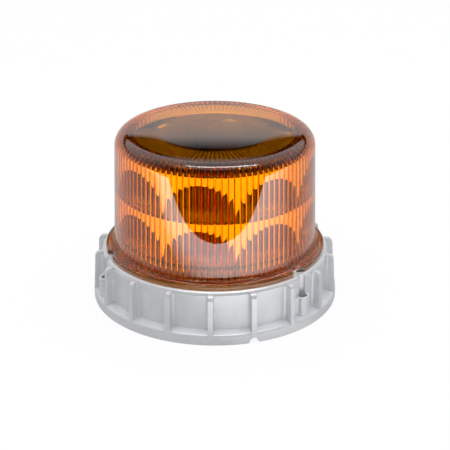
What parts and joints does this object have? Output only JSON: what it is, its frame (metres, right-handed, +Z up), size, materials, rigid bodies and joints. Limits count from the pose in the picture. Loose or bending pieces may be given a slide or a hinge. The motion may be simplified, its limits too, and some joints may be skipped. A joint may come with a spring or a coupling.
{
  "type": "LED warning beacon",
  "caption": "Amber LED warning beacon: fluted clear dome over two rings of half-dome reflectors, on a ribbed grey die-cast base with a bolt mount.",
  "frame": {"origin": "centre of the base's underside, on the mounting plane", "axes": "+Z up along the lamp's axis; -Y is the front; +X to the right seen from the front"},
  "size_m": [0.14, 0.14, 0.0983],
  "materials": {
    "casting": "satin silver-grey paint",
    "amber_lens": "clear polished amber plastic",
    "black_plastic": "fine grain",
    "reflector_chrome": "vacuum-metallised",
    "board_white": "white solder mask",
    "board_green": "green solder mask",
    "led_yellow": "clear silicone over phosphor",
    "aluminium": "machined",
    "steel": "zinc plated",
    "seal_rubber": "matt",
    "grey_plastic": "moulded",
    "component_black": "moulded",
    "terminal_green": "moulded",
    "wire_red": "wire insulation"
  },
  "bodies": {
    "housing": {"base_housing": "casting", "bottom_cover": "grey_plastic", "cover_seal": "seal_rubber", "cover_screws": "steel", "mounting_gasket": "seal_rubber", "cable_grommet": "seal_rubber", "vent_plug": "black_plastic", "driver_board": "board_green", "driver_screws": "steel", "capacitors": "component_black", "inductor": "component_black", "power_chips": "component_black", "input_terminal": "terminal_green", "stack_connector": "component_black", "led_harness": "wire_red", "harness_plug": "board_white", "heat_column": "aluminium", "column_screws": "steel", "led_board_lower": "board_white", "led_board_upper": "board_white", "board_screws_lower": "steel", "board_screws_upper": "steel", "leds_lower": "led_yellow", "leds_upper": "led_yellow", "reflector_lower": "reflector_chrome", "reflector_upper": "reflector_chrome", "optic_screws_lower": "steel", "optic_screws_upper": "steel", "optic_nuts": "steel", "lens_seal": "seal_rubber"},
    "lens_ring": {"lens_ring": "black_plastic"},
    "lens": {"lens": "amber_lens"}
  },
  "joints": [
    {"name": "lens_twist", "type": "hinge", "parent": "housing", "child": "lens_ring", "pos_m": [0, 0, 0.0299], "axis": [0, 0, 1], "range_deg": [0, 20]},
    {"name": "lens_lift", "type": "slide", "parent": "lens_ring", "child": "lens", "axis": [0, 0, 1], "range_m": [0, 0.08]}
  ]
}
